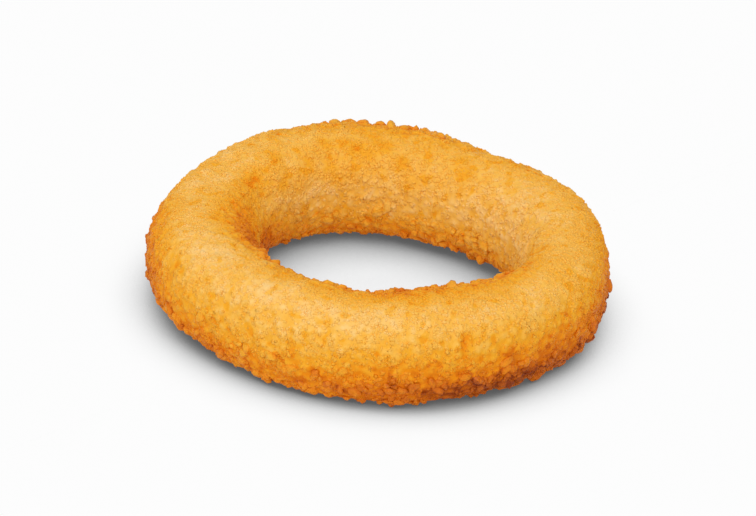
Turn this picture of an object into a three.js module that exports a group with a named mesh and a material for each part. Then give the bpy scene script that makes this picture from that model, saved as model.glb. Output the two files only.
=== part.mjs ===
// One breaded onion ring, fried and lying flat: a rounded band of crust bent into an
// uneven loop round an open hole. It is one solid, because nothing inside it shows.
// Millimetres, +Z up. The origin is on the surface the ring lies on, under the middle
// of its outer box.
//
// Places on the ring are given by two angles in degrees. "around" goes round the loop,
// anticlockwise from +X as seen from above. "over" goes round the band's section: 0 on
// the outer side, 90 on the crown, 180 on the side towards the hole.

import * as THREE from 'three';
import { ParametricGeometry } from 'three/addons/geometries/ParametricGeometry.js';

// The loop and its band.
const LOOP_RADIUS = 24.8; // to the middle of the band
const BAND_WIDTH = 14.2;
const BAND_DEPTH = 14.9; // before the underside is pressed flat
const PRESSED_FLAT = 0.4; // taken off the underside where the ring lies on it
const SQUARENESS = 2.3; // of the section: 2 is an ellipse, more fills its corners

// Slow waves that make the ring uneven: how many crests there are round the loop, how
// far each one swings, and where the first crest lies.
const LOOP_WAVES = [
  { crests: 2, swing: 0.75, around: -16 },
  { crests: 3, swing: 0.5, around: -6 },
  { crests: 5, swing: 0.2, around: 40 },
];
const WIDTH_WAVES = [
  { crests: 1, swing: 0.4, around: 175 },
  { crests: 3, swing: 0.4, around: 60 },
  { crests: 4, swing: 0.2, around: 20 },
];
const DEPTH_WAVES = [
  { crests: 2, swing: 0.2, around: 100 },
  { crests: 3, swing: 0.2, around: 10 },
];

// Soft lumps, and hollows where the rise is negative. The two reaches are along the
// loop and over the section.
const LUMPS = [
  { name: 'right crown', around: 20, over: 70, rise: 0.35, along: 6, across: 6 },
  { name: 'back right dip', around: 57, over: 40, rise: -0.4, along: 4, across: 5 },
  { name: 'back right knob', around: 80, over: 60, rise: 0.5, along: 5, across: 5 },
  { name: 'back crown', around: 100, over: 70, rise: 0.3, along: 4, across: 5 },
  { name: 'back left flank', around: 125, over: 20, rise: 0.4, along: 6, across: 6 },
  { name: 'inner fold', around: 155, over: 130, rise: -0.8, along: 4.5, across: 5.5 },
  { name: 'left crown', around: 198, over: 95, rise: 0.35, along: 7, across: 6 },
  { name: 'front left flat', around: 230, over: 10, rise: -0.5, along: 7, across: 6 },
  { name: 'front inner dip', around: 266, over: 118, rise: -0.65, along: 6, across: 6 },
  { name: 'front keel', around: 280, over: -30, rise: 0.5, along: 4.5, across: 6 },
  { name: 'front right flat', around: 318, over: -10, rise: -0.6, along: 5, across: 6 },
  { name: 'front right crown', around: 340, over: 80, rise: 0.3, along: 7, across: 6 },
];

// How finely the surface is divided.
const STEPS_AROUND = 96;
const STEPS_OVER = 36;

const CRUST_COLOUR = '#e7a13c';
const CRUST_ROUGHNESS = 0.7;

const TURN = 2 * Math.PI;

/** The sum of some waves at one angle round the loop. */
function waveSum(waves, around) {
  return waves.reduce((sum, wave) => {
    const fromCrest = around - THREE.MathUtils.degToRad(wave.around);
    return sum + wave.swing * Math.cos(wave.crests * fromCrest);
  }, 0);
}

/** The shorter way from one angle to another, between minus and plus half a turn. */
function angleBetween(from, to) {
  return THREE.MathUtils.euclideanModulo(to - from + Math.PI, TURN) - Math.PI;
}

/** How far the lumps raise the surface at a place on it. */
function lumpRise(around, over) {
  return LUMPS.reduce((rise, lump) => {
    const alongTurn = angleBetween(THREE.MathUtils.degToRad(lump.around), around);
    const acrossTurn = angleBetween(THREE.MathUtils.degToRad(lump.over), over);
    const along = (alongTurn * LOOP_RADIUS) / lump.along;
    const across = (acrossTurn * BAND_WIDTH) / 2 / lump.across;
    return rise + lump.rise * Math.exp(-along * along - across * across);
  }, 0);
}

/** A sine or cosine bent so that a circle becomes a rounded square. */
function squared(value) {
  return Math.sign(value) * Math.abs(value) ** (2 / SQUARENESS);
}

/** Puts into target the surface point at two fractions of a turn. */
function crustPoint(aroundFraction, overFraction, target) {
  const around = aroundFraction * TURN;
  const over = overFraction * TURN;
  const rise = lumpRise(around, over);
  const halfWidth = BAND_WIDTH / 2 + waveSum(WIDTH_WAVES, around) + rise;
  const halfDepth = BAND_DEPTH / 2 + waveSum(DEPTH_WAVES, around) + rise;
  const radius =
    LOOP_RADIUS + waveSum(LOOP_WAVES, around) + halfWidth * squared(Math.cos(over));
  const middleHeight = BAND_DEPTH / 2 - PRESSED_FLAT;
  const height = middleHeight + halfDepth * squared(Math.sin(over));
  target.set(radius * Math.cos(around), radius * Math.sin(around), Math.max(height, 0));
}

/** The ring's closed surface, with the middle of its outer box over the origin. */
function crustGeometry() {
  const geometry = new ParametricGeometry(crustPoint, STEPS_AROUND, STEPS_OVER);
  geometry.computeBoundingBox();
  const middle = geometry.boundingBox.getCenter(new THREE.Vector3());
  return geometry.translate(-middle.x, -middle.y, 0);
}

/** The whole ring as one mesh. */
function onionRing() {
  const material = new THREE.MeshStandardMaterial({
    color: CRUST_COLOUR,
    roughness: CRUST_ROUGHNESS,
    metalness: 0,
  });
  const ring = new THREE.Mesh(crustGeometry(), material);
  ring.name = 'onion_ring';
  return ring;
}

const model = new THREE.Group();
model.add(onionRing());

export default model;
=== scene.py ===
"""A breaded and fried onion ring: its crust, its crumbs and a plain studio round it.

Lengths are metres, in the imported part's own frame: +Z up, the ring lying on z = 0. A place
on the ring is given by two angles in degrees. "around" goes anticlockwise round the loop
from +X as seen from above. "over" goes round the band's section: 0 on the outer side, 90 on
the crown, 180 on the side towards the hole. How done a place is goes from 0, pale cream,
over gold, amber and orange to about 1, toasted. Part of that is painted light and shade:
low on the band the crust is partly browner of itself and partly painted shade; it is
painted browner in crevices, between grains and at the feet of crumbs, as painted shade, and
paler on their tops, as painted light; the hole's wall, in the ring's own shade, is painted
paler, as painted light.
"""

import logging
import math
from dataclasses import dataclass, field
from enum import Enum
from typing import Any

import bmesh
import bpy
import numpy as np
from mathutils import Matrix, Vector
from mathutils.bvhtree import BVHTree


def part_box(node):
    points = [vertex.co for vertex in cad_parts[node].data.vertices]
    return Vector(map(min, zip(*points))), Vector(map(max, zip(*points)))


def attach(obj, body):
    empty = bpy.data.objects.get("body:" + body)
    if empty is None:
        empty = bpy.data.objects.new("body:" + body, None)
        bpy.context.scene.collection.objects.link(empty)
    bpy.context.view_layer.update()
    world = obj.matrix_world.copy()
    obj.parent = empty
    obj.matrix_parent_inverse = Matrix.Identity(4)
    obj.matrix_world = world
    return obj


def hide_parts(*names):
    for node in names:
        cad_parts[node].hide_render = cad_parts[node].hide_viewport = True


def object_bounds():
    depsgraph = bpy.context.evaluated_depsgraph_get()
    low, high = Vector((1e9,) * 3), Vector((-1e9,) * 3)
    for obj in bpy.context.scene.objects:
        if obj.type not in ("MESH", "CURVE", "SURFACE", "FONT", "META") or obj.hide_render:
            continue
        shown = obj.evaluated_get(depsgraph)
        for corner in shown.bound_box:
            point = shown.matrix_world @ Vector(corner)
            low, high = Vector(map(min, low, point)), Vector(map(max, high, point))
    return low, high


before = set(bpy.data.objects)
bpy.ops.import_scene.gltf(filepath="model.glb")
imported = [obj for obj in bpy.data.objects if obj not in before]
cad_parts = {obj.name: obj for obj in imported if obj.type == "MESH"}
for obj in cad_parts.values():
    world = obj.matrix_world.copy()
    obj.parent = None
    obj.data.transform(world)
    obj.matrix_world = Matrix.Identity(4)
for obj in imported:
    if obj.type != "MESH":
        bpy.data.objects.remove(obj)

CAD_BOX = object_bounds()
LOG = logging.getLogger("onion_ring")

MM = 0.001
TURN = 2 * math.pi
RING_NODE = "onion_ring"
BODY = "root"
SHADE_EDGE_OFFSET = 0.2  # keeps facets from showing where light grazes a smooth mesh
BOTH_WAYS = 2.0  # a swing goes half its reach to each side

Colour = tuple[float, float, float]
Inputs = dict[int | str, Any]
Socket = bpy.types.NodeSocket


class Mark(Enum):
    """The names of the attributes that the ring's meshes carry for their materials."""

    # how done the crust is, partly painted shade and painted light
    DONE = "done"
    COAT = "coat"
    RELIEF = "relief"
    TONE = "tone"


def srgb(red: int, green: int, blue: int) -> Colour:
    """Turns a colour as seen on a screen into linear light.

    Args:
        red: Its red, 0 to 255.
        green: Its green.
        blue: Its blue.

    Returns:
        The same three, from 0 to 1, in linear light.
    """

    def linear(level: float) -> float:
        """Turns one channel, 0 to 1, into linear light."""
        return level / 12.92 if level <= 0.04045 else ((level + 0.055) / 1.055) ** 2.4

    return linear(red / 255), linear(green / 255), linear(blue / 255)


def smooth_step(value: np.ndarray, low: float, high: float) -> np.ndarray:
    """Goes smoothly from 0 where value is at low to 1 where it is at high."""
    part = np.clip((value - low) / (high - low), 0.0, 1.0)
    return part * part * (3.0 - 2.0 * part)


class Bench:
    """A node tree being built, with a short call for each kind of node that the ring uses."""

    def __init__(self, tree: bpy.types.NodeTree) -> None:
        """Works on tree, which may already hold nodes."""
        self.tree = tree

    def feed(self, socket: Socket, value: Any) -> None:
        """Links a socket into another, or sets a plain value on it.

        Args:
            socket: The input.
            value: A plain value, or the socket that the input is fed from.
        """
        if isinstance(value, bpy.types.NodeSocket):
            self.tree.links.new(value, socket)
        else:
            socket.default_value = value

    def add(self, kind: str, inputs: Inputs | None = None, **settings: Any) -> bpy.types.Node:
        """Adds a node.

        Args:
            kind: Blender's name for the type of node.
            inputs: For each input's name or number, a value or the socket that feeds it.
            **settings: The node's own settings, set before its inputs.

        Returns:
            The node.
        """
        node = self.tree.nodes.new(kind)
        for name, value in settings.items():
            setattr(node, name, value)
        for key, value in (inputs or {}).items():
            self.feed(node.inputs[key], value)
        return node

    def out(self, kind: str, inputs: Inputs | None = None, **settings: Any) -> Socket:
        """Adds a node, as add does, and returns its first output."""
        return self.add(kind, inputs, **settings).outputs[0]

    def calc(self, operation: str, *values: Any) -> Socket:
        """Returns the result of a Math node on one to three values."""
        return self.out("ShaderNodeMath", dict(enumerate(values)), operation=operation)

    def swing(self, value: Any, reach: Any, base: Any = 0.0) -> Socket:
        """Returns base moved by how far value is from a half, times reach."""
        return self.calc("MULTIPLY_ADD", self.calc("SUBTRACT", value, 0.5), reach, base)

    def vector(self, operation: str, *values: Any) -> Socket:
        """Returns the vector from a Vector Math node whose inputs are taken in order."""
        return self.out("ShaderNodeVectorMath", dict(enumerate(values)), operation=operation)

    def scaled(self, vector: Any, factor: Any) -> Socket:
        """Returns a vector times a number."""
        return self.out("ShaderNodeVectorMath", {0: vector, "Scale": factor}, operation="SCALE")

    def step(
        self, value: Any, low: Any, high: Any, to_low: Any = 0.0, to_high: Any = 1.0
    ) -> Socket:
        """Returns value taken smoothly from the range low to high to another range."""
        inputs = {0: value, "From Min": low, "From Max": high, "To Min": to_low, "To Max": to_high}
        return self.out("ShaderNodeMapRange", inputs, interpolation_type="SMOOTHSTEP")

    def texture(self, kind: str, place: Any, size: Any, own: Inputs, **settings: Any) -> Any:
        """Returns the outputs of a texture that repeats about every size; own is what it adds."""
        inputs = {"Vector": place, "Scale": self.calc("DIVIDE", 1.0, size), **own}
        return self.add(kind, inputs, **settings).outputs

    def noise(self, place: Any, size: Any, detail: float = 2.0) -> Socket:
        """Returns soft noise, about a half on average, whose patches are about size across."""
        return self.texture("ShaderNodeTexNoise", place, size, {"Detail": detail})[0]

    def wobble(self, place: Any, size: Any, reach: Any) -> Socket:
        """Returns noise as a vector up to half of reach long, in patches about size across."""
        colour = self.texture("ShaderNodeTexNoise", place, size, {"Detail": 1.0})[1]
        return self.scaled(self.vector("SUBTRACT", colour, (0.5, 0.5, 0.5)), reach)

    def cells(self, place: Any, size: Any, softness: float) -> list[Socket]:
        """Returns how far the nearest cell's middle is, in cell sizes, and its own colour."""
        own = {"Smoothness": softness}
        return self.texture("ShaderNodeTexVoronoi", place, size, own, feature="SMOOTH_F1")[:2]

    def mark(self, name: Mark) -> Socket:
        """Returns a number attribute of the mesh, in a shader tree."""
        return self.add("ShaderNodeAttribute", attribute_name=name.value).outputs["Fac"]

    def stored(self, name: Mark) -> Socket:
        """Returns a number attribute of the mesh, in a geometry tree."""
        return self.out("GeometryNodeInputNamedAttribute", {0: name.value}, data_type="FLOAT")

    def place(self) -> Socket:
        """Returns where each point is, in a geometry tree."""
        return self.out("GeometryNodeInputPosition")

    def height(self, place: Socket) -> Socket:
        """Returns how high a place is."""
        return self.add("ShaderNodeSeparateXYZ", {0: place}).outputs[2]


class GeometryRecipe:
    """A Geometry Nodes tree with named inputs, which is run once and leaves a plain mesh."""

    LOWEST = (-1.0, -1.0, 0.0)  # far past the ring sideways, and the floor

    def __init__(self, name: str) -> None:
        """Starts a tree with a geometry input and output.

        Args:
            name: The tree's name.
        """
        self.tree = bpy.data.node_groups.new(name, "GeometryNodeTree")
        self.bench = Bench(self.tree)
        self.values: dict[str, Any] = {}
        for way in ("INPUT", "OUTPUT"):
            self.tree.interface.new_socket("Geometry", in_out=way, socket_type="NodeSocketGeometry")
        self.start = self.bench.add("NodeGroupInput")
        self.end = self.bench.add("NodeGroupOutput")

    @property
    def geometry(self) -> Socket:
        """The geometry that the tree is given."""
        return self.start.outputs[0]

    def take(self, name: str, value: Any) -> Socket:
        """Adds a named input.

        Args:
            name: The input's name.
            value: What the run gives it: a whole number, another number or a material.

        Returns:
            The socket that carries the value inside the tree.
        """
        kinds = {
            int: "NodeSocketInt",
            float: "NodeSocketFloat",
            bpy.types.Material: "NodeSocketMaterial",
        }
        item = self.tree.interface.new_socket(name, in_out="INPUT", socket_type=kinds[type(value)])
        self.values[item.identifier] = value
        return self.start.outputs[name]

    def store(self, geometry: Socket, name: Mark, value: Socket, domain: str = "POINT") -> Socket:
        """Returns the geometry with a number attribute on its points, or on another domain."""
        inputs = {"Geometry": geometry, "Name": name.value, "Value": value}
        return self.bench.out("GeometryNodeStoreNamedAttribute", inputs, domain=domain)

    def moved(self, geometry: Socket, way: str, vector: Socket) -> Socket:
        """Returns the geometry with its points moved; way is "Position" or "Offset"."""
        return self.bench.out("GeometryNodeSetPosition", {0: geometry, way: vector})

    def rest_on_floor(self, geometry: Socket) -> Socket:
        """Returns the geometry with every point that was below the floor lifted up to it."""
        above = self.bench.vector("MAXIMUM", self.bench.place(), self.LOWEST)
        return self.moved(geometry, "Position", above)

    def finish(self, geometry: Socket, material: Socket) -> None:
        """Ends the tree: smooth and above the floor, made real and given its material.

        Args:
            geometry: What the tree has made.
            material: The socket that carries its material.
        """
        smooth = self.bench.out("GeometryNodeSetShadeSmooth", {0: self.rest_on_floor(geometry)})
        real = self.bench.out("GeometryNodeRealizeInstances", {0: smooth})
        dressed = self.bench.out("GeometryNodeSetMaterial", {0: real, "Material": material})
        self.bench.feed(self.end.inputs[0], dressed)

    def run(self, piece: bpy.types.Object) -> bpy.types.Object:
        """Runs the tree on an object and leaves the result as the object's own mesh.

        Args:
            piece: The object, whose mesh is what the tree starts from.

        Returns:
            The same object.
        """
        modifier = piece.modifiers.new(self.tree.name, "NODES")
        modifier.node_group = self.tree
        for identifier, value in self.values.items():
            modifier[identifier] = value
        depsgraph = bpy.context.evaluated_depsgraph_get()
        made = bpy.data.meshes.new_from_object(piece.evaluated_get(depsgraph), depsgraph=depsgraph)
        piece.modifiers.clear()
        given = piece.data
        piece.data = made
        made.name = piece.name
        bpy.data.meshes.remove(given)
        return piece


def new_piece(name: str, mesh: bpy.types.Mesh) -> bpy.types.Object:
    """Puts a mesh into the scene.

    Args:
        name: The object's name.
        mesh: Its mesh, with its place in it.

    Returns:
        The object, at the origin.
    """
    piece = bpy.data.objects.new(name, mesh)
    piece.shadow_terminator_geometry_offset = SHADE_EDGE_OFFSET
    bpy.context.scene.collection.objects.link(piece)
    return piece


@dataclass(frozen=True)
class Shade:
    """One shade of fried crumb in full light, and how done the crumb is that has it."""

    done: float
    colour: Colour


SHADES = (
    Shade(0.00, srgb(250, 207, 134)),
    Shade(0.25, srgb(246, 188, 83)),
    Shade(0.50, srgb(243, 171, 41)),
    Shade(0.75, srgb(238, 144, 14)),
    Shade(1.00, srgb(216, 112, 4)),
    Shade(1.30, srgb(150, 62, 2)),
)


class FriedTone:
    """The shader group that gives the crust and the crumbs their colour, painted light and shade
    included.
    """

    DRIFT_SIZE = 10 * MM  # of the widest changes in how done the ring is
    DRIFT_SWING = 0.3
    MOTTLE_SIZE = 2.4 * MM
    FLECK_SIZE = 1.0 * MM
    DOT_SIZE = 1.5 * MM
    AMBER_DOTS = (0.64, 0.74, 0.0, 0.18)  # the noise outside and inside a dot, and how done each is
    PALE_DOTS = (0.34, 0.22, 0.0, -0.08)
    ELSEWHERE = (0.37, 0.11, 0.23)  # a shift, so that flecks and dots don't follow the mottles

    def __init__(self, shades: tuple[Shade, ...]) -> None:
        """Builds the group once, with a ramp through the shades at its end.

        Args:
            shades: The shades, from the palest to the brownest.
        """
        self.tree = bpy.data.node_groups.new("fried tone", "ShaderNodeTree")
        face = self.tree.interface
        face.new_socket("Place", in_out="INPUT", socket_type="NodeSocketVector")
        seen = ("Done and shade", "Relief", "Tone", "Granule", "Open")
        swings = ("Mottle", "Fleck", "Relief swing", "Tone swing", "Granule swing", "Crevice shade")
        for name in (*seen, *swings):
            face.new_socket(name, in_out="INPUT", socket_type="NodeSocketFloat")
        face.new_socket("Colour", in_out="OUTPUT", socket_type="NodeSocketColor")
        self._nodes(Bench(self.tree), shades)

    def _nodes(self, bench: Bench, shades: tuple[Shade, ...]) -> None:
        """Moves how done a place is by noise and by painted light and shade, and looks its colour
        up.

        Args:
            bench: The group's tree.
            shades: The shades, from the palest to the brownest.
        """
        given = bench.add("NodeGroupInput").outputs
        place = given["Place"]
        elsewhere = bench.vector("ADD", place, self.ELSEWHERE)
        done = bench.swing(bench.noise(place, self.DRIFT_SIZE), self.DRIFT_SWING, given["Done and shade"])
        done = bench.swing(bench.noise(place, self.MOTTLE_SIZE), given["Mottle"], done)
        flecks = bench.noise(elsewhere, self.FLECK_SIZE, detail=1.0)
        done = bench.swing(flecks, given["Fleck"], done)
        # Relief paints tops paler as painted light and feet browner as painted shade; Granule adds
        # each grain's tone and painted shade in its gaps; Tone is each crumb's own
        for name in ("Relief", "Tone", "Granule"):
            done = bench.swing(given[name], given[f"{name} swing"], done)
        # painted shade: browner where the AO node finds the surface closed in
        shut = bench.calc("SUBTRACT", 1.0, given["Open"])
        done = bench.calc("MULTIPLY_ADD", shut, given["Crevice shade"], done)
        dots = bench.noise(elsewhere, self.DOT_SIZE, detail=0.0)
        amber_dots = bench.step(dots, *self.AMBER_DOTS)
        pale_dots = bench.step(dots, *self.PALE_DOTS)
        done = bench.calc("ADD", done, bench.calc("ADD", amber_dots, pale_dots))

        most = shades[-1].done
        ramp = bench.add("ShaderNodeValToRGB", {0: bench.calc("DIVIDE", done, most)})
        stops = ramp.color_ramp.elements
        while len(stops) < len(shades):
            stops.new(1.0)
        for stop, shade in zip(stops, shades):
            stop.position = shade.done / most
            stop.color = (*shade.colour, 1.0)
        bench.feed(bench.add("NodeGroupOutput").inputs["Colour"], ramp.outputs["Color"])


class CrumbGrain:
    """The shader group of the grain finer than the meshes, with painted shade in the gaps between
    grains.
    """

    CRUMPLE = 0.5  # how far the grains are pushed out of round, as a part of their size
    SOFTNESS = 0.5  # of the line between two grains
    DOME_FOOT = 0.75  # how far from its middle a grain's dome ends, in grain sizes
    OWN_HEIGHT = 0.4  # how far one grain may stand above another, as a part of a dome
    FINE_SIZE = 0.6  # of the noise on the domes, as a part of the grain size
    FINE_HEIGHT = 0.2

    def __init__(self) -> None:
        """Builds the group once."""
        self.tree = bpy.data.node_groups.new("crumb grain", "ShaderNodeTree")
        face = self.tree.interface
        face.new_socket("Place", in_out="INPUT", socket_type="NodeSocketVector")
        face.new_socket("Grain size", in_out="INPUT", socket_type="NodeSocketFloat")
        for name in ("Height", "Granule"):
            face.new_socket(name, in_out="OUTPUT", socket_type="NodeSocketFloat")
        bench = Bench(self.tree)
        given = bench.add("NodeGroupInput").outputs
        place = given["Place"]
        size = given["Grain size"]
        crumple = bench.wobble(place, size, bench.calc("MULTIPLY", size, self.CRUMPLE))
        away, own = bench.cells(bench.vector("ADD", place, crumple), size, self.SOFTNESS)
        own = bench.out("ShaderNodeSeparateColor", {0: own})
        dome = bench.step(away, self.DOME_FOOT, 0.0)
        fine = bench.noise(place, bench.calc("MULTIPLY", size, self.FINE_SIZE), detail=0.0)
        domed = bench.calc("MULTIPLY_ADD", fine, self.FINE_HEIGHT, dome)
        height = bench.calc("MULTIPLY_ADD", own, self.OWN_HEIGHT, domed)
        # painted shade: the gaps between grains come out browner
        gap_shade = bench.calc("SUBTRACT", 1.0, dome)
        end = bench.add("NodeGroupOutput")
        bench.feed(end.inputs["Height"], height)
        bench.feed(end.inputs["Granule"], bench.calc("MULTIPLY", bench.calc("ADD", own, gap_shade), 0.5))


@dataclass(frozen=True)
class FriedFinish:
    """How fried crumb looks and takes the light, in one of its pieces.

    Attributes:
        name: The material's name.
        extra: How much more done this piece is than the crust below it.
        mottle: How far the mottles of a few millimetres swing.
        fleck: How far the flecks of a millimetre swing.
        tip_light_and_foot_shade: How much paler the tops of knobs and crumbs are painted than their
            feet, as painted light on the tops and painted shade at the feet.
        tone_swing: How far the loose crumbs differ from each other.
        granule_tone_and_gap_shade: How far the finest crumbs differ from each other, and how much
            browner the gaps between them are painted, as painted shade.
        crevice_shade: How much browner the crumb is painted deep between crumbs, as painted shade.
        crevice_shade_reach: How far apart the sides of a gap between crumbs are at most, for that
            painted shade.
        dry: The roughness of the driest places.
        oily: The roughness of the oiliest places.
        shine: How strongly the surface mirrors.
        grain_size: The size of the finest crumbs, which are only in the shading.
        grain_height: How high they stand.
    """

    OILY_SIZE = 3.4 * MM
    OILY_RANGE = (0.35, 0.7)  # the noise at the driest and at the oiliest places

    name: str
    extra: float = 0.0
    mottle: float = 0.36
    fleck: float = 0.09
    tip_light_and_foot_shade: float = 0.22
    tone_swing: float = 0.0
    granule_tone_and_gap_shade: float = 0.09
    crevice_shade: float = 0.0
    crevice_shade_reach: float = 0.8 * MM
    dry: float = 0.66
    oily: float = 0.44
    shine: float = 0.1
    grain_size: float = 0.62 * MM
    grain_height: float = 0.07 * MM

    def material(self, tone: FriedTone, grain: CrumbGrain) -> bpy.types.Material:
        """Builds the material.

        Args:
            tone: The group that gives the colour.
            grain: The group that gives the finest relief.

        Returns:
            The material.
        """
        made = bpy.data.materials.new(self.name)
        made.use_nodes = True
        made.node_tree.nodes.clear()
        bench = Bench(made.node_tree)
        place = bench.add("ShaderNodeTexCoord").outputs["Object"]
        inputs = {"Place": place, "Grain size": self.grain_size}
        fine = bench.add("ShaderNodeGroup", inputs, node_tree=grain.tree).outputs
        # this AO node drives the painted shade in crevices
        nearby = bench.add("ShaderNodeAmbientOcclusion", {"Distance": self.crevice_shade_reach})
        chosen = {
            "Place": place,
            "Done and shade": bench.calc("ADD", bench.mark(Mark.DONE), self.extra),
            "Relief": bench.mark(Mark.RELIEF),
            "Tone": bench.mark(Mark.TONE),
            "Mottle": self.mottle,
            "Fleck": self.fleck,
            "Relief swing": -self.tip_light_and_foot_shade,
            "Tone swing": self.tone_swing,
            "Granule": fine["Granule"],
            "Granule swing": self.granule_tone_and_gap_shade,
            "Open": nearby.outputs["AO"],
            "Crevice shade": self.crevice_shade,
        }
        relief = {"Height": fine["Height"], "Distance": self.grain_height}
        spots = bench.noise(place, self.OILY_SIZE)
        look = {
            "Base Color": bench.out("ShaderNodeGroup", chosen, node_tree=tone.tree),
            "Roughness": bench.step(spots, *self.OILY_RANGE, self.dry, self.oily),
            "Normal": bench.out("ShaderNodeBump", relief),
            "Specular IOR Level": self.shine,
        }
        skin = bench.out("ShaderNodeBsdfPrincipled", look)
        bench.add("ShaderNodeOutputMaterial", {"Surface": skin})
        return made


CRUST_FINISH = FriedFinish("fried crust")
CRUMB_FINISH = FriedFinish(
    "fried crumbs",
    extra=0.08,
    tone_swing=0.1,
    crevice_shade=0.08,
    oily=0.38,
    shine=0.24,
    grain_size=0.5 * MM,
    grain_height=0.12 * MM,
)
DUST_FINISH = FriedFinish("crumb dust", extra=0.02, tip_light_and_foot_shade=0.14, tone_swing=0.07)


@dataclass(frozen=True)
class Patch:
    """A place on the crust that is browner, paler or crumbier than what lies about it.

    Attributes:
        around: Where it lies round the loop, in degrees.
        over: Where it lies over the section, in degrees.
        reach: How far it spreads from its middle, over the section.
        done: How much more done it is, or less where this is negative.
        coat: How much thicker the crumbs lie on it.
        stretch: How many times further it spreads along the loop.
    """

    around: float
    over: float
    reach: float = 1.2 * MM
    done: float = 0.2
    coat: float = 0.0
    stretch: float = 1.0


PATCHES = (
    Patch(113, 112),
    Patch(135, 114),
    Patch(123, 134),
    Patch(113, 144),
    Patch(100, 120, 1.6 * MM),
    Patch(152, 122, 2.4 * MM, 0.3),
    Patch(138, 148),
    Patch(130, 158),
    Patch(119, 172),
    Patch(187, 106, 1.0 * MM),
    Patch(174, 128, 1.9 * MM, 0.3),
    Patch(90, 112),
    Patch(83, 132),
    Patch(72, 124),
    Patch(60, 106),
    Patch(55, 124, 1.6 * MM),
    Patch(70, 88, 1.0 * MM),
    Patch(77, 154, 1.8 * MM),
    Patch(88, 166, 1.6 * MM, 0.1),
    # browner low on the front right of the band: partly the crust's own colour, partly painted
    # shade
    Patch(308, 2, 4.0 * MM, 0.16),
    Patch(324, 0, 5.0 * MM, 0.18),
    Patch(208, 74, 4.0 * MM, -0.18),
    Patch(237, 64, 3.5 * MM, -0.16),
    Patch(26, 126, 4.0 * MM, -0.08),
    Patch(321, 62, 4.0 * MM, -0.05),
    Patch(194, 78, 5.0 * MM, -0.14),
    Patch(157, 96, 3.5 * MM, -0.14),
    Patch(274, 62, 3.0 * MM, -0.14),
    Patch(10, 84, 7.0 * MM, 0.13),
    Patch(166, 82, 6.0 * MM, 0.05),
    Patch(272, 124, 3.0 * MM, 0.34, 1.2, 10.0),
    Patch(282, 104, 4.0 * MM, 0.32, 0.0, 5.0),
    Patch(86, 62, 4.0 * MM, 0.32, 0.7, 6.0),
    Patch(181, 18, 5.0 * MM, 0.42, 0.0, 2.0),
    Patch(354, 22, 8.0 * MM, 0.36, 0.0, 1.6),
    Patch(199, 148, 7.0 * MM, 0.68, 0.1, 1.6),
    # browner low on the hole's wall: partly the crust's own colour, partly painted orange
    # reflection
    Patch(163, 192, 4.5 * MM, 0.56, 0.0, 1.6),
    Patch(248, 0, 6.0 * MM, -0.13, 0.0, 2.5),
    Patch(250, 66, 5.0 * MM, -0.08, 0.0, 3.0),
    Patch(304, -38, 3.0 * MM, 0.28, 0.0, 5.0),
    Patch(14, 60, 5.0 * MM, 0.24),
    Patch(112, 186, 4.5 * MM, -0.14, 0.0, 2.2),
    Patch(66, 190, 4.0 * MM, -0.12, 0.0, 2.0),
    Patch(142, 182, 4.0 * MM, -0.13, 0.0, 2.0),
    Patch(24, 198, 4.0 * MM, -0.1, 0.0, 2.0),
    Patch(243, -24, 6.0 * MM, -0.2, 0.0, 2.5),
    Patch(226, 34, 4.0 * MM, -0.12),
    Patch(206, 98, 5.0 * MM, -0.28, 0.0, 2.0),
    Patch(30, 68, 3.5 * MM, 0.2, 0.0, 2.0),
    Patch(202, 32, 4.0 * MM, 0.13, 0.0, 1.5),
    Patch(170, 50, 4.0 * MM, -0.12),
    Patch(166, 104, 4.0 * MM, -0.08),
    Patch(113, 70, 3.5 * MM, 0.26, 0.0, 1.3),
    Patch(112, 158, 3.0 * MM, 0.14, 0.0, 1.5),
    Patch(150, 58, 3.0 * MM, 0.13),
    Patch(44, 68, 3.5 * MM, 0.22),
    Patch(190, 122, 5.0 * MM, -0.08),
    Patch(150, 175, 3.5 * MM, -0.14),
    Patch(68, 147, 3.5 * MM, -0.1),
    Patch(138, 78, 4.0 * MM, -0.1, 0.0, 1.6),
    Patch(14, 124, 5.0 * MM, -0.26, 0.0, 1.6),
    Patch(346, 68, 4.0 * MM, -0.1),
)


@dataclass(frozen=True)
class Crease:
    """A short pressed line that runs up the side of the band.

    Attributes:
        around: Where it lies round the loop, in degrees.
        low: Where it starts over the section, in degrees.
        high: Where it ends.
        half_width: How far from its middle its depth has faded to about a third.
        depth: How deep it is along its middle.
        done: How much browner it is painted along it, as painted shade in the crease.
    """

    around: float
    low: float
    high: float
    half_width: float
    depth: float
    done: float


CREASES = (Crease(294, 8, 34, 0.5 * MM, 0.3 * MM, 0.4),)

# How done the crust is, and how thick the crumbs lie on it, at some angles over the section.
# Low on the band the doneness is partly the crust's own browning and partly painted shade;
# the dip at 165 is painted light on the hole's wall, which lies in the ring's own shade.
DONE_AND_SHADE_OVER = (
    (-35, 0.9),
    (-12, 0.7),
    (20, 0.38),
    (50, 0.22),
    (90, 0.29),
    (120, 0.35),
    (145, 0.31),
    (165, 0.18),
    (188, 0.34),
    (215, 0.66),
)

COAT_OVER = (
    (-35, 1.0),
    (0, 0.9),
    (30, 0.6),
    (60, 0.34),
    (90, 0.1),
    (110, 0.12),
    (140, 0.25),
    (165, 0.5),
    (190, 1.0),
)


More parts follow.
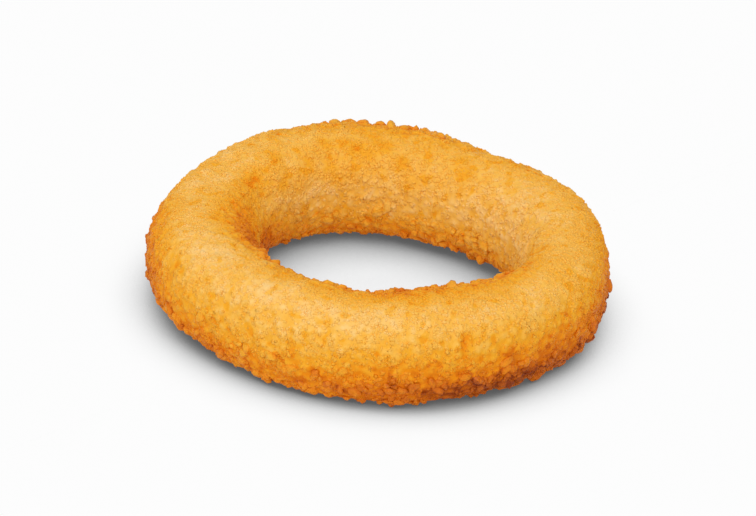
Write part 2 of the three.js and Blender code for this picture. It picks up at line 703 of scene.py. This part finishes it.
@dataclass
class Crust:
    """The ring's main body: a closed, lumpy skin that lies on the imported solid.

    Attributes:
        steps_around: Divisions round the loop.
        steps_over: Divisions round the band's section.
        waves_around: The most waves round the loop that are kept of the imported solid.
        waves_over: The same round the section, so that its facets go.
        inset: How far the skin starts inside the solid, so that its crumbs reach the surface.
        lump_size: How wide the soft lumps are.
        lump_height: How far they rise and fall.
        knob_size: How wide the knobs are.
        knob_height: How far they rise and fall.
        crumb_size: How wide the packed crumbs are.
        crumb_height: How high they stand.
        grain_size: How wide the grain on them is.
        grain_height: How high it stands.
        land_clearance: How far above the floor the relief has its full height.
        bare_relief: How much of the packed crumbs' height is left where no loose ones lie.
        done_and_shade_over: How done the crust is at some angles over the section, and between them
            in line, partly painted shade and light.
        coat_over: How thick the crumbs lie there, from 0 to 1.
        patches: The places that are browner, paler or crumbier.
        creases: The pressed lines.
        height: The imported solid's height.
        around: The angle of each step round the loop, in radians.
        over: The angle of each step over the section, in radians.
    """

    SAME_CORNER = 0.001 * MM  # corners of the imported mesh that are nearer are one
    FADE_POWER = 4  # how sharply the waves past the most that are kept fade
    CREASE_ENDS = (1.3, 0.6)  # where a crease is gone and where it is full, in half lengths
    CELL_SOFTNESS = 0.5  # of the line between two packed crumbs
    CELL_DOME = (0.75, 0.1)  # where a packed crumb's dome begins and is full, in crumb sizes
    RELIEF_COAT = (0.1, 0.7)  # the coat where the relief begins to grow and is full

    steps_around: int = 520
    steps_over: int = 188
    waves_around: float = 40.0
    waves_over: float = 16.0
    inset: float = 0.12 * MM
    lump_size: float = 8.0 * MM
    lump_height: float = 0.14 * MM
    knob_size: float = 2.6 * MM
    knob_height: float = 0.16 * MM
    crumb_size: float = 1.15 * MM
    crumb_height: float = 0.3 * MM
    grain_size: float = 0.9 * MM
    grain_height: float = 0.12 * MM
    land_clearance: float = 1.2 * MM
    bare_relief: float = 0.32
    done_and_shade_over: tuple[tuple[float, float], ...] = DONE_AND_SHADE_OVER
    coat_over: tuple[tuple[float, float], ...] = COAT_OVER
    patches: tuple[Patch, ...] = PATCHES
    creases: tuple[Crease, ...] = CREASES
    height: float = field(init=False)
    around: np.ndarray = field(init=False)
    over: np.ndarray = field(init=False)

    def __post_init__(self) -> None:
        """Takes the ring's height from the frame and lays out the two angles."""
        self.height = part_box(RING_NODE)[1].z
        self.around = np.arange(self.steps_around) * TURN / self.steps_around
        self.over = np.arange(self.steps_over) * TURN / self.steps_over

    @staticmethod
    def packed_surface() -> BVHTree:
        """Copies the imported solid's mesh and merges its corners.

        Returns:
            The solid's surface, which rays can be cast at.
        """
        copy = bmesh.new()
        copy.from_mesh(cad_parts[RING_NODE].data)
        bmesh.ops.remove_doubles(copy, verts=copy.verts, dist=Crust.SAME_CORNER)
        surface = BVHTree.FromBMesh(copy)
        copy.free()
        return surface

    def smoothed(self, values: np.ndarray) -> np.ndarray:
        """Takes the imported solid's facets out of a field.

        Args:
            values: One number for each step round the loop, or one for each point of the grid.

        Returns:
            The field without its short waves.
        """
        loop = np.fft.fftfreq(self.steps_around, 1 / self.steps_around) / self.waves_around
        fade = loop**self.FADE_POWER
        if values.ndim == 2:
            section = np.fft.fftfreq(self.steps_over, 1 / self.steps_over) / self.waves_over
            fade = fade[:, None] + section[None, :] ** self.FADE_POWER
        return np.fft.ifftn(np.fft.fftn(values) * np.exp(-fade)).real

    def middle_line(self, surface: BVHTree) -> np.ndarray:
        """Finds the line that the band's section goes round.

        Args:
            surface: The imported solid's surface.

        Returns:
            The radius of the band's middle at each step round the loop.
        """
        up = Vector((0, 0, self.height / 2))
        far = 2 * max(CAD_BOX[1].x, CAD_BOX[1].y)
        middle = np.empty(self.steps_around)
        for row, around in enumerate(self.around):
            out = Vector((math.cos(around), math.sin(around), 0.0))
            hole_side = surface.ray_cast(up, out)[3]
            outer_side = far - surface.ray_cast(out * far + up, -out)[3]
            middle[row] = (hole_side + outer_side) / 2
        return self.smoothed(middle)

    def places(self) -> np.ndarray:
        """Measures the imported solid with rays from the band's middle.

        Returns:
            The grid's points, a row of them for each step round the loop.
        """
        surface = self.packed_surface()
        middle = self.middle_line(surface)
        half = self.height / 2
        distance = np.empty((self.steps_around, self.steps_over))
        for row, around in enumerate(self.around):
            out = Vector((math.cos(around), math.sin(around), 0.0))
            start = out * middle[row] + Vector((0, 0, half))
            for column, over in enumerate(self.over):
                ray = out * math.cos(over) + Vector((0, 0, math.sin(over)))
                distance[row, column] = surface.ray_cast(start, ray)[3]
        distance = self.smoothed(distance) - self.inset
        for crease in self.creases:
            distance -= crease.depth * self.crease_shape(crease)
        radius = middle[:, None] + distance * np.cos(self.over)
        x = radius * np.cos(self.around)[:, None]
        y = radius * np.sin(self.around)[:, None]
        z = np.maximum(half + distance * np.sin(self.over), 0.0)
        return np.stack([x, y, z], axis=-1)

    def apart(self, around: float, over: float) -> tuple[np.ndarray, np.ndarray]:
        """Measures how far every point of the grid is from a place.

        Args:
            around: The place's angle round the loop, in degrees.
            over: Its angle over the section, in degrees.

        Returns:
            The way along the loop and the way over the section, each as a field over the grid.
        """
        half = self.height / 2
        loop_radius = (CAD_BOX[1].x + CAD_BOX[1].y) / 2 - half
        along = (self.around - math.radians(around) + math.pi) % TURN - math.pi
        across = (self.over - math.radians(over) + math.pi) % TURN - math.pi
        reach = loop_radius + np.cos(self.over) * half
        grid = (self.steps_around, self.steps_over)
        return along[:, None] * reach[None, :], np.broadcast_to(across * half, grid)

    def crease_shape(self, crease: Crease) -> np.ndarray:
        """Spreads a crease over the grid.

        Args:
            crease: The pressed line.

        Returns:
            A field over the grid, 1 along the crease's middle and 0 away from it.
        """
        along, across = self.apart(crease.around, (crease.low + crease.high) / 2)
        half_length = math.radians(crease.high - crease.low) / 2 * self.height / 2
        line = np.exp(-((along / crease.half_width) ** 2))
        gone, full = (half_length * end for end in self.CREASE_ENDS)
        return line * smooth_step(np.abs(across), gone, full)

    def over_section(self, table: tuple[tuple[float, float], ...]) -> np.ndarray:
        """Spreads a table over the grid.

        Args:
            table: Angles over the section, in degrees, each with its value.

        Returns:
            A field over the grid, the same all round the loop.
        """
        angles, values = zip(*table)
        level = np.interp(np.degrees(self.over), angles, values, period=360)
        return self.smoothed(np.tile(level, (self.steps_around, 1)))

    def marks(self) -> dict[Mark, np.ndarray]:
        """Adds the patches and creases to what holds all round the loop.

        Returns:
            How done each point of the grid is, partly painted shade and light, and how thick the
            crumbs lie on it.
        """
        browner = np.zeros((self.steps_around, self.steps_over))
        paler = np.zeros_like(browner)
        coat = self.over_section(self.coat_over)
        for patch in self.patches:
            along, across = self.apart(patch.around, patch.over)
            shape = np.exp(-((along / patch.stretch) ** 2 + across**2) / patch.reach**2)
            browner = np.maximum(browner, patch.done * shape)
            paler = np.minimum(paler, patch.done * shape)
            coat = coat + patch.coat * shape
        # painted shade along each crease's middle
        for crease in self.creases:
            browner = np.maximum(browner, crease.done * self.crease_shape(crease))
        done = self.over_section(self.done_and_shade_over) + browner + paler
        return {Mark.DONE: done, Mark.COAT: np.clip(coat, 0.0, 1.0)}

    def skin(self) -> bpy.types.Mesh:
        """Makes the closed grid.

        Returns:
            Its mesh, with the marks of each of its points.
        """
        places = self.places()
        rows, columns = places.shape[:2]
        index = np.arange(rows * columns).reshape(rows, columns)
        next_row = np.roll(index, -1, axis=0)
        next_column = np.roll(index, -1, axis=1)
        corner = np.roll(next_row, -1, axis=1)
        quads = np.stack([index, next_row, corner, next_column], axis=-1).reshape(-1, 4)
        mesh = bpy.data.meshes.new("crust")
        mesh.from_pydata(places.reshape(-1, 3).tolist(), [], quads.tolist())
        for name, values in self.marks().items():
            mark = mesh.attributes.new(name.value, "FLOAT", "POINT")
            mark.data.foreach_set("value", values.ravel())
        mesh.update()
        return mesh

    def relief(self, material: bpy.types.Material) -> GeometryRecipe:
        """Writes the recipe that raises lumps, knobs, packed crumbs and grain on the skin.

        Args:
            material: The crust's material.

        Returns:
            The recipe.
        """
        recipe = GeometryRecipe("crust relief")
        bench = recipe.bench
        lump_size = recipe.take("Lump size", self.lump_size)
        lump_height = recipe.take("Lump height", self.lump_height)
        knob_size = recipe.take("Knob size", self.knob_size)
        knob_height = recipe.take("Knob height", self.knob_height)
        crumb_size = recipe.take("Crumb size", self.crumb_size)
        crumb_height = recipe.take("Crumb height", self.crumb_height)
        grain_size = recipe.take("Grain size", self.grain_size)
        grain_height = recipe.take("Grain height", self.grain_height)
        bare = recipe.take("Bare relief", self.bare_relief)
        clearance = recipe.take("Land clearance", self.land_clearance)
        dressing = recipe.take("Material", material)

        place = bench.place()
        normal = bench.out("GeometryNodeInputNormal")
        shifted = bench.vector("ADD", place, bench.wobble(place, knob_size, crumb_size))
        away = bench.cells(shifted, crumb_size, self.CELL_SOFTNESS)[0]
        packed = bench.step(away, *self.CELL_DOME)
        lumps = bench.noise(place, lump_size, detail=1.0)
        rise = bench.swing(lumps, bench.calc("MULTIPLY", lump_height, BOTH_WAYS))
        knobs = bench.noise(place, knob_size, detail=0.5)
        rise = bench.swing(knobs, bench.calc("MULTIPLY", knob_height, BOTH_WAYS), rise)
        kept = bench.step(bench.stored(Mark.COAT), *self.RELIEF_COAT, bare, 1.0)
        rise = bench.swing(packed, bench.calc("MULTIPLY", crumb_height, kept), rise)
        grain = bench.noise(place, grain_size, detail=0.0)
        rise = bench.swing(grain, bench.calc("MULTIPLY", grain_height, kept), rise)
        rise = bench.calc("MULTIPLY", rise, bench.step(bench.height(place), 0.0, clearance))

        # the packed crumbs' relief, which the material uses to paint their tops paler, as painted
        # light, and their feet browner, as painted shade
        marked = recipe.store(recipe.geometry, Mark.RELIEF, bench.swing(packed, kept, 0.5))
        raised = recipe.moved(marked, "Offset", bench.scaled(normal, rise))
        recipe.finish(raised, dressing)
        return recipe

    def build(self, material: bpy.types.Material) -> bpy.types.Object:
        """Returns the finished crust in its material."""
        return self.relief(material).run(new_piece("crust", self.skin()))


class Roundness(Enum):
    """How finely a crumb is divided, as a step of the icosphere."""

    COARSE = 1
    FINE = 2


@dataclass(frozen=True)
class CrumbKind:
    """One kind of loose crumb that is fried onto the crust.

    Attributes:
        name: The piece's name.
        per_square_mm: How many there are where they are thickest.
        sizes: The smallest and the largest one's size.
        coats: How thick the coat is where the first of them lie, and where they are thickest.
        sink: How deep their middles sit, as a part of their size.
        tallness: The least and the greatest height, as a part of the size.
        ragged: How far their surface is pushed in and out.
        seed: The start of their random places.
        thinnest: How many are left where they lie loosest, as a part of the most.
        roundness: How finely each one is divided.
        finish: Their finish.
    """

    name: str
    per_square_mm: float
    sizes: tuple[float, float]
    coats: tuple[float, float]
    sink: float
    tallness: tuple[float, float]
    ragged: float
    seed: int
    thinnest: float = 0.35
    roundness: Roundness = Roundness.FINE
    finish: FriedFinish = CRUMB_FINISH


CRUMB_KINDS = (
    CrumbKind(
        name="crumb_dust",
        per_square_mm=6.7,
        sizes=(0.38 * MM, 0.68 * MM),
        coats=(0.75, 0.3),
        sink=0.1,
        tallness=(0.6, 0.9),
        ragged=0.14 * MM,
        seed=5,
        thinnest=0.7,
        roundness=Roundness.COARSE,
        finish=DUST_FINISH,
    ),
    CrumbKind(
        name="fine_crumbs",
        per_square_mm=2.9,
        sizes=(0.45 * MM, 0.85 * MM),
        coats=(0.36, 0.74),
        sink=0.1,
        tallness=(0.4, 0.7),
        ragged=0.18 * MM,
        seed=11,
        roundness=Roundness.COARSE,
    ),
    CrumbKind(
        name="coarse_crumbs",
        per_square_mm=0.7,
        sizes=(0.75 * MM, 1.2 * MM),
        coats=(0.4, 0.95),
        sink=0.2,
        tallness=(0.4, 0.6),
        ragged=0.3 * MM,
        seed=23,
    ),
    CrumbKind(
        name="toasted_crumbs",
        per_square_mm=0.55,
        sizes=(0.9 * MM, 2.0 * MM),
        coats=(0.85, 1.0),
        sink=0.06,
        tallness=(0.55, 0.9),
        ragged=0.42 * MM,
        seed=37,
    ),
)


class Draw(Enum):
    """The random numbers that each crumb has, as steps away from its kind's seed."""

    SIZE = 0
    LENGTH = 1
    WIDTH = 2
    HEIGHT = 3
    TILT_ALONG = 4
    TILT_ACROSS = 5
    SPIN = 6
    TONE = 7


@dataclass
class CrumbCoat:
    """The loose crumbs of one kind, scattered over the crust.

    Attributes:
        kind: The crumbs.
        crust: What they lie on.
    """

    FLOOR_GAP = (0.25 * MM, 1.0 * MM)  # how high the first of them lie, and where they are full
    DRIFT_SIZE = 4.0 * MM  # of the places where they lie loose or thick
    DRIFT_RANGE = (0.35, 0.62)  # the noise where they lie loosest and thickest
    SMALLNESS = 1.8  # above 1, more of them are small than large
    LENGTH = (0.9, 1.45)  # the least and the greatest, as a part of the size
    WIDTH = (0.65, 1.0)
    TILT = (-0.35, 0.35)  # off the crust's own slope, in radians
    FOLD_SIZE = 0.4  # of the unevenness of their surface, as a part of the largest one
    UNIT_RADIUS = 0.5  # of a crumb before it gets its size

    kind: CrumbKind
    crust: bpy.types.Object

    def where(self, bench: Bench) -> Socket:
        """Adds the nodes that say where the crumbs lie.

        Args:
            bench: The recipe's tree.

        Returns:
            How thick they lie at a place, from 0 to 1.
        """
        place = bench.place()
        off_floor = bench.step(bench.height(place), *self.FLOOR_GAP)
        drifts = bench.noise(place, self.DRIFT_SIZE)
        drift = bench.step(drifts, *self.DRIFT_RANGE, self.kind.thinnest, 1.0)
        kept = bench.step(bench.stored(Mark.COAT), *self.kind.coats)
        return bench.calc("MULTIPLY", bench.calc("MULTIPLY", off_floor, drift), kept)

    def recipe(self, material: bpy.types.Material) -> GeometryRecipe:
        """Writes the recipe that scatters the crumbs and leaves out the crust itself.

        Args:
            material: The crumbs' material.

        Returns:
            The recipe.
        """
        recipe = GeometryRecipe(self.kind.name)
        bench = recipe.bench
        density = recipe.take("Per square metre", self.kind.per_square_mm / MM**2)
        smallest = recipe.take("Smallest", self.kind.sizes[0])
        largest = recipe.take("Largest", self.kind.sizes[1])
        sink = recipe.take("Sink", self.kind.sink)
        flattest = recipe.take("Flattest", self.kind.tallness[0])
        tallest = recipe.take("Tallest", self.kind.tallness[1])
        ragged = recipe.take("Ragged", self.kind.ragged)
        seed = recipe.take("Seed", self.kind.seed)
        dressing = recipe.take("Material", material)

        inputs = {"Mesh": recipe.geometry, "Seed": seed}
        inputs["Density"] = bench.calc("MULTIPLY", self.where(bench), density)
        spread = bench.add("GeometryNodeDistributePointsOnFaces", inputs).outputs
        size = bench.calc("POWER", self.random(bench, seed, Draw.SIZE, 0.0, 1.0), self.SMALLNESS)
        size = bench.calc("MULTIPLY_ADD", size, bench.calc("SUBTRACT", largest, smallest), smallest)
        parts = {
            0: self.random(bench, seed, Draw.LENGTH, *self.LENGTH),
            1: self.random(bench, seed, Draw.WIDTH, *self.WIDTH),
            2: self.random(bench, seed, Draw.HEIGHT, flattest, tallest),
        }
        shape = bench.out("ShaderNodeCombineXYZ", parts)
        sized = bench.add("GeometryNodeCaptureAttribute", {"Geometry": spread["Points"]})
        sized.capture_items.new("VECTOR", "Scale")
        bench.feed(sized.inputs["Scale"], bench.scaled(shape, size))
        depth = bench.calc("MULTIPLY", bench.calc("MULTIPLY", size, sink), -1.0)
        inward = bench.scaled(spread["Normal"], depth)
        sunk = recipe.moved(sized.outputs["Geometry"], "Offset", inward)

        tilt = {
            0: self.random(bench, seed, Draw.TILT_ALONG, *self.TILT),
            1: self.random(bench, seed, Draw.TILT_ACROSS, *self.TILT),
            2: self.random(bench, seed, Draw.SPIN, 0.0, TURN),
        }
        lean = bench.out("ShaderNodeCombineXYZ", tilt)
        lean = bench.out("FunctionNodeEulerToRotation", {0: lean})
        turn = {0: spread["Rotation"], 1: lean}
        turned = bench.out("FunctionNodeRotateRotation", turn, rotation_space="LOCAL")
        inputs = {"Radius": self.UNIT_RADIUS, "Subdivisions": self.kind.roundness.value}
        ball = bench.out("GeometryNodeMeshIcoSphere", inputs)
        # each crumb's height, which the material uses to paint its top paler, as painted light, and
        # its foot browner, as painted shade
        tip = bench.calc("ADD", bench.height(bench.place()), self.UNIT_RADIUS)
        ball = recipe.store(ball, Mark.RELIEF, tip)
        inputs = {"Points": sunk, "Instance": ball, "Rotation": turned}
        inputs["Scale"] = sized.outputs["Scale"]
        crumbs = bench.out("GeometryNodeInstanceOnPoints", inputs)
        tone = self.random(bench, seed, Draw.TONE, 0.0, 1.0)
        crumbs = recipe.store(crumbs, Mark.TONE, tone, "INSTANCE")
        crumbs = bench.out("GeometryNodeRealizeInstances", {0: crumbs})

        folds = bench.calc("MULTIPLY", largest, self.FOLD_SIZE)
        crumple = bench.wobble(bench.place(), folds, bench.calc("MULTIPLY", ragged, BOTH_WAYS))
        recipe.finish(recipe.moved(crumbs, "Offset", crumple), dressing)
        return recipe

    @staticmethod
    def random(bench: Bench, seed: Socket, draw: Draw, low: Any, high: Any) -> Socket:
        """Returns one of each crumb's random numbers, between low and high."""
        inputs = {2: low, 3: high, "Seed": bench.calc("ADD", seed, float(draw.value))}
        return bench.add("FunctionNodeRandomValue", inputs, data_type="FLOAT").outputs[1]

    def build(self, material: bpy.types.Material) -> bpy.types.Object:
        """Returns the finished crumbs in their material, as one piece."""
        return self.recipe(material).run(new_piece(self.kind.name, self.crust.data.copy()))


@dataclass
class Studio:
    """The plain pale floor, the soft light and the camera.

    Attributes:
        camera_elevation: How far above the floor the camera looks from, in degrees.
        camera_roll: How far it is turned about its own axis, in degrees.
        camera_distance: How far it is from the ring.
        picture_width: How wide the picture is at the ring.
        sensor: How wide the camera's sensor is, in millimetres.
        floor_reach: How far the floor goes to each side.
        key_from: Where the main lamp stands: degrees to the camera's right, and above the floor.
        key_strength: Its strength, as Blender's sun has it.
        key_spread: How broad it is, in degrees.
        fill_from: Where the low lamp stands, which lights the wall at the back of the hole.
        fill_strength: Its strength.
        fill_spread: How broad it is.
        sky_strength: How bright the sky is on the ring. The camera sees it white.
        floor_bounce: How pale the floor is to the ring.
        shade_reach: How near the ring the floor's painted shadow reaches.
        shade_open: How open the floor is to the light where its painted shadow begins and where it
            ends.
        shade_tones: How pale the floor is painted in the deepest shadow and in the open.
    """

    camera_elevation: float = 28.2
    camera_roll: float = 4.0
    camera_distance: float = 1.1
    picture_width: float = 0.106
    sensor: float = 36.0
    floor_reach: float = 4.0
    key_from: tuple[float, float] = (-26.0, 58.0)
    key_strength: float = 1.18
    key_spread: float = 90.0
    fill_from: tuple[float, float] = (10.0, 26.0)
    fill_strength: float = 0.34
    fill_spread: float = 50.0
    sky_strength: float = 0.605
    floor_bounce: float = 0.86
    shade_reach: float = 0.026
    shade_open: tuple[float, float] = (0.1, 0.84)
    shade_tones: tuple[float, float] = (0.1, 0.98)

    def build_floor(self) -> None:
        """Lays a wide pale floor at the ring's foot, which glows to the camera with a painted
        shadow round the ring.
        """
        mesh = bpy.data.meshes.new("floor")
        reach = self.floor_reach
        corners = [(-reach, -reach, 0), (reach, -reach, 0), (reach, reach, 0), (-reach, reach, 0)]
        mesh.from_pydata(corners, [], [(0, 1, 2, 3)])
        floor = new_piece("floor", mesh)
        finish = bpy.data.materials.new("pale floor")
        finish.use_nodes = True
        finish.node_tree.nodes.clear()
        bench = Bench(finish.node_tree)
        seen = bench.add("ShaderNodeLightPath").outputs["Is Camera Ray"]
        level = self.floor_bounce
        board = bench.out("ShaderNodeBsdfDiffuse", {"Color": (level, level, level, 1.0)})
        # painted shadow: to the camera the floor glows, dimmer where the AO node finds the ring
        # near
        nearby = bench.add("ShaderNodeAmbientOcclusion", {"Distance": self.shade_reach})
        tone = bench.step(nearby.outputs["AO"], *self.shade_open, *self.shade_tones)
        painted_floor_shadow = bench.out("ShaderNodeEmission", {"Strength": tone})
        mixed = bench.out("ShaderNodeMixShader", {0: seen, 1: board, 2: painted_floor_shadow})
        bench.add("ShaderNodeOutputMaterial", {"Surface": mixed})
        mesh.materials.append(finish)

    @staticmethod
    def add_lamp(name: str, stands: tuple[float, float], strength: float, spread: float) -> None:
        """Adds one far, soft lamp.

        Args:
            name: The lamp's name.
            stands: Where it stands: degrees to the camera's right, and above the floor.
            strength: Its strength, as Blender's sun has it.
            spread: How broad it is, in degrees.
        """
        lamp = bpy.data.lights.new(name, "SUN")
        lamp.energy = strength
        lamp.angle = math.radians(spread)
        made = bpy.data.objects.new(name, lamp)
        bpy.context.scene.collection.objects.link(made)
        azimuth, elevation = (math.radians(angle) for angle in stands)
        level = math.cos(elevation)
        x = math.sin(azimuth) * level
        y = -math.cos(azimuth) * level
        towards = Vector((x, y, math.sin(elevation)))
        made.rotation_euler = towards.to_track_quat("Z", "Y").to_euler()

    def build_light(self) -> None:
        """Makes a broad soft lamp at the front left, a weak low one in front and an even sky."""
        self.add_lamp("key", self.key_from, self.key_strength, self.key_spread)
        self.add_lamp("fill", self.fill_from, self.fill_strength, self.fill_spread)
        sky = bpy.data.worlds.new("pale sky")
        sky.use_nodes = True
        sky.node_tree.nodes.clear()
        bench = Bench(sky.node_tree)
        seen = bench.add("ShaderNodeLightPath").outputs["Is Camera Ray"]
        strength = bench.calc("MAXIMUM", self.sky_strength, seen)
        white = (1.0, 1.0, 1.0, 1.0)
        glow = bench.out("ShaderNodeBackground", {"Color": white, "Strength": strength})
        bench.add("ShaderNodeOutputWorld", {"Surface": glow})
        bpy.context.scene.world = sky

    def build_camera(self) -> None:
        """Places the camera in front of the ring, above it and a little rolled."""
        lens = bpy.data.cameras.new("camera")
        lens.sensor_width = self.sensor
        lens.lens = self.sensor * self.camera_distance / self.picture_width
        camera = bpy.data.objects.new("camera", lens)
        bpy.context.scene.collection.objects.link(camera)
        low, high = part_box(RING_NODE)
        elevation = math.radians(self.camera_elevation)
        towards = Vector((0.0, -math.cos(elevation), math.sin(elevation)))
        turn = towards.to_track_quat("Z", "Y").to_matrix().to_4x4()
        roll = Matrix.Rotation(math.radians(self.camera_roll), 4, "Z")
        place = (low + high) / 2 + towards * self.camera_distance
        camera.matrix_world = Matrix.Translation(place) @ turn @ roll
        bpy.context.scene.camera = camera

    def build(self) -> None:
        """Makes the whole studio."""
        self.build_camera()
        self.build_floor()
        self.build_light()
        bpy.context.scene.view_settings.view_transform = "Standard"


def main() -> None:
    """Builds the ring and its studio, and says what each piece holds."""
    logging.basicConfig(level=logging.INFO, format="%(message)s")
    Studio().build()
    tone = FriedTone(SHADES)
    grain = CrumbGrain()
    finishes = (CRUST_FINISH, CRUMB_FINISH, DUST_FINISH)
    skins = {finish: finish.material(tone, grain) for finish in finishes}
    crust = Crust().build(skins[CRUST_FINISH])
    coats = [CrumbCoat(kind, crust).build(skins[kind.finish]) for kind in CRUMB_KINDS]
    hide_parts(RING_NODE)
    for piece in (crust, *coats):
        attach(piece, BODY)
        triangles = sum(len(face.vertices) - 2 for face in piece.data.polygons)
        LOG.info("%s: %d triangles", piece.name, triangles)


if __name__ == "__main__":
    main()
